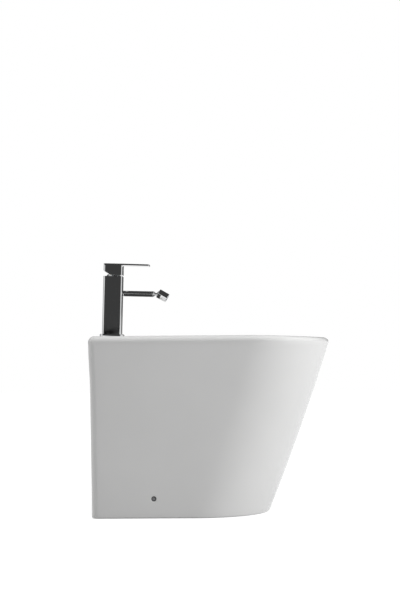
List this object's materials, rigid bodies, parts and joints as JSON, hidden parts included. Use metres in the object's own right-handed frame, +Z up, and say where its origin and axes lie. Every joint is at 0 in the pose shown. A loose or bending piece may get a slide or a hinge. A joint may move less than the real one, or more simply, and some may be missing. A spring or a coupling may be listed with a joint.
{
  "type": "floor standing bidet",
  "caption": "Back-to-wall ceramic bidet with a sloping D-shaped front, a square single-lever mixer with a swivelling nozzle, a push-down waste plug and a bottle trap.",
  "frame": {"origin": "on the floor, at the middle of the overall length and width", "axes": "+X from the wall to the front of the rim, +Z up, +Y to the side that completes a right-handed frame"},
  "size_m": [0.54, 0.36, 0.5704],
  "materials": {
    "glazed_ceramic": "smooth white glaze",
    "chrome": "polished chrome plate",
    "brass": "bare turned brass",
    "steel": "stainless steel",
    "blackened_steel": "black-oxide steel",
    "black_rubber": "matt black rubber",
    "white_plastic": "moulded white plastic",
    "grey_plastic": "moulded grey plastic",
    "disc_ceramic": "lapped alumina",
    "index_grey": "gloss plastic"
  },
  "bodies": {
    "bidet": {"ceramic_rim": "glazed_ceramic", "ceramic_basin": "glazed_ceramic", "ceramic_skirt": "glazed_ceramic", "overflow_ring": "chrome", "waste_flange": "chrome", "waste_backnut": "chrome", "trap_inlet_nut": "chrome", "trap_inlet_tube": "chrome", "trap_body": "chrome", "trap_cup": "chrome", "trap_outlet_nut": "chrome", "trap_outlet_pipe": "chrome", "tap_base_plate": "chrome", "tap_body": "chrome", "dome_cap": "chrome", "spout_tube": "chrome", "spout_collar": "chrome", "plug_guide": "brass", "fixing_stud": "brass", "stud_nut": "brass", "cartridge_nut": "brass", "deck_washer_metal": "steel", "side_screw_left": "blackened_steel", "side_screw_right": "blackened_steel", "waste_upper_gasket": "black_rubber", "waste_lower_gasket": "black_rubber", "trap_inlet_washer": "black_rubber", "trap_cup_seal": "black_rubber", "trap_outlet_washer": "black_rubber", "tap_gasket": "black_rubber", "deck_washer_rubber": "black_rubber", "cartridge_seals": "black_rubber", "side_bush_left": "black_rubber", "side_bush_right": "black_rubber", "cartridge_housing": "white_plastic", "floor_bracket_left": "white_plastic", "floor_bracket_right": "white_plastic", "cartridge_base": "grey_plastic", "fixed_disc": "disc_ceramic"},
    "waste_plug_body": {"waste_plug": "chrome", "plug_seal": "black_rubber"},
    "mixer_swivel": {"cartridge_rotor": "grey_plastic", "rotor_pin": "steel"},
    "lever": {"lever_stem": "brass", "lever_handle": "chrome", "grub_screw": "brass", "index_plug": "index_grey"},
    "disc_slider": {"moving_disc": "disc_ceramic"},
    "nozzle_stem": {"ball_stem": "chrome"},
    "nozzle": {"nozzle_housing": "chrome", "ball_seat": "white_plastic", "aerator_washer": "black_rubber", "aerator": "grey_plastic"}
  },
  "joints": [
    {"name": "temperature_swivel", "type": "hinge", "parent": "bidet", "child": "mixer_swivel", "pos_m": [-0.22608, 0, 0.53075], "axis": [0.0297, 0, 0.9996], "range_deg": [-50, 50]},
    {"name": "flow_lift", "type": "hinge", "parent": "mixer_swivel", "child": "lever", "pos_m": [-0.22608, 0, 0.53075], "axis": [0, -1, 0], "range_deg": [0, 20]},
    {"name": "disc_slide", "type": "slide", "parent": "mixer_swivel", "child": "disc_slider", "axis": [0.9996, 0, -0.0297], "range_m": [0, 0.00276]},
    {"name": "nozzle_turn", "type": "hinge", "parent": "bidet", "child": "nozzle_stem", "pos_m": [-0.11799, 0, 0.49853], "axis": [0.9996, 0, -0.0297], "range_deg": [-180, 180]},
    {"name": "nozzle_tilt", "type": "hinge", "parent": "nozzle_stem", "child": "nozzle", "pos_m": [-0.11799, 0, 0.49853], "axis": [0, 1, 0], "range_deg": [-60, 4]},
    {"name": "plug_travel", "type": "slide", "parent": "bidet", "child": "waste_plug_body", "axis": [0, 0, 1], "range_m": [-0.008, 0]}
  ],
  "couplings": [
    {"joint": "disc_slide", "follows": "flow_lift", "m_per_rad": 0.0079}
  ]
}
